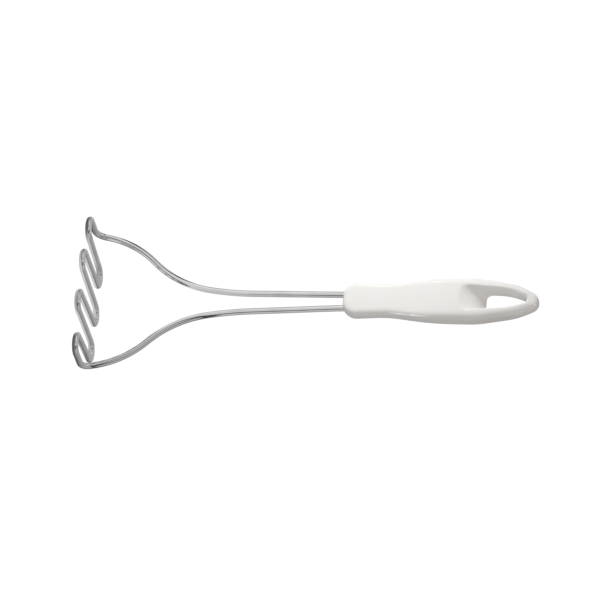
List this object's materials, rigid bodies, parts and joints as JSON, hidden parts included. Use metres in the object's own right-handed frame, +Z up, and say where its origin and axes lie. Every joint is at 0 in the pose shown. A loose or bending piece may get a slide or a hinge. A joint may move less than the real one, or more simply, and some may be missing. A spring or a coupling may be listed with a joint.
{
  "type": "potato masher",
  "caption": "Hand potato masher: bright steel wire bent into legs and a flat zigzag foot, held in a white moulded handle with a thumb scoop and a hanging hole.",
  "frame": {"origin": "on the floor, under the middle of the mashing foot", "axes": "+Z up along the legs and the handle, +X across the foot, -Y the side that the handle's scooped top face looks to"},
  "size_m": [0.0966, 0.0591, 0.2826],
  "materials": {
    "bright_steel_wire": "polished",
    "white_moulding": "gloss",
    "inner_core": "matte"
  },
  "bodies": {
    "root": {"masher_wire": "bright_steel_wire", "handle_shell": "white_moulding", "wire_anchor": "inner_core"}
  },
  "joints": []
}
